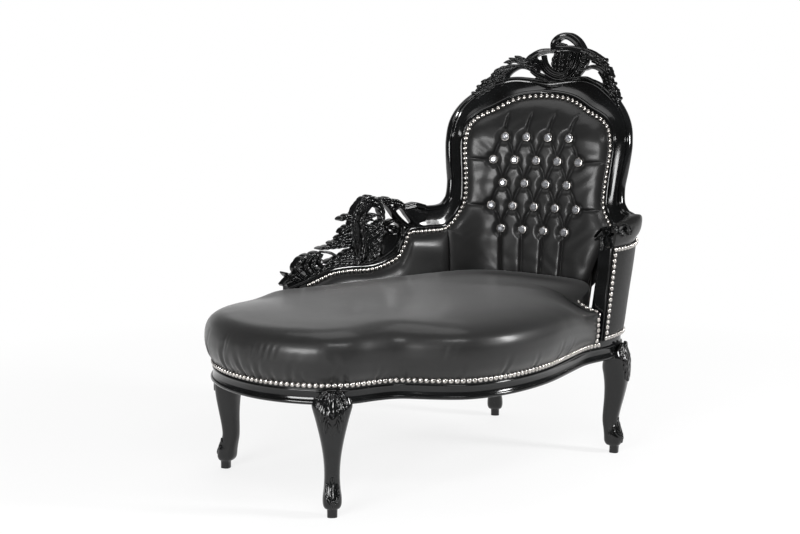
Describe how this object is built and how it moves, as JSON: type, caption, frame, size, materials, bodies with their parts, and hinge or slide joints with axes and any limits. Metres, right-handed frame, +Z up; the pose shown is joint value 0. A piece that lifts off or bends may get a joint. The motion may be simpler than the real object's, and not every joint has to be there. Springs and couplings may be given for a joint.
{
  "type": "chaise longue",
  "caption": "Carved-frame chaise longue with a crowned seat, a pierced low side, one padded arm and a tall button-tufted back.",
  "frame": {"origin": "on the floor, at the middle of the overall box", "axes": "+X along the seat towards the tall back, +Y towards the low side, +Z up; the open side faces -Y"},
  "size_m": [1.345, 0.8158, 1.2],
  "materials": {
    "black_lacquer": "high-gloss black lacquer over carved hardwood",
    "beech": "plain sawn beech, hidden inside",
    "leather": "charcoal-black leather, semi-gloss, fine grain",
    "foam": "upholstery foam",
    "board": "thin plywood lining",
    "webbing": "woven jute webbing",
    "backing": "black non-woven dust cover",
    "nickel": "polished nickel nail heads",
    "crystal": "faceted crystal in a silver rim"
  },
  "bodies": {
    "root": {"front_foot_end_leg": "black_lacquer", "front_head_end_leg": "black_lacquer", "rear_head_end_leg": "black_lacquer", "rear_foot_end_leg": "black_lacquer", "front_seat_rail": "black_lacquer", "head_end_seat_rail": "black_lacquer", "rear_seat_rail": "black_lacquer", "foot_end_seat_rail": "black_lacquer", "back_top_rail": "black_lacquer", "back_left_stile": "black_lacquer", "back_right_stile": "black_lacquer", "crest_carving": "black_lacquer", "side_show_rail": "black_lacquer", "side_carving": "black_lacquer", "arm_show_rail": "black_lacquer", "arm_stump": "black_lacquer", "front_foot_end_corner_block": "beech", "front_head_end_corner_block": "beech", "rear_head_end_corner_block": "beech", "rear_foot_end_corner_block": "beech", "back_bottom_rail": "beech", "seat_cover": "leather", "back_outer_cover": "leather", "back_tufted_cover": "leather", "side_pad": "leather", "side_outer_cover": "leather", "arm_pad": "leather", "arm_inner_pad": "leather", "arm_outer_cover": "leather", "seat_foam": "foam", "back_foam": "foam", "back_board": "board", "side_board": "board", "seat_webbing": "webbing", "seat_dust_cover": "backing", "seat_nail_trim": "nickel", "back_nail_trim": "nickel", "arm_nail_trim": "nickel", "back_button_1_1": "crystal", "back_button_1_2": "crystal", "back_button_1_3": "crystal", "back_button_1_4": "crystal", "back_button_2_1": "crystal", "back_button_2_2": "crystal", "back_button_2_3": "crystal", "back_button_2_4": "crystal", "back_button_2_5": "crystal", "back_button_3_1": "crystal", "back_button_3_2": "crystal", "back_button_3_3": "crystal", "back_button_3_4": "crystal", "back_button_4_1": "crystal", "back_button_4_2": "crystal", "back_button_4_3": "crystal", "back_button_4_4": "crystal", "back_button_4_5": "crystal", "back_button_5_1": "crystal", "back_button_5_2": "crystal", "back_button_5_3": "crystal", "back_button_5_4": "crystal"}
  },
  "joints": []
}
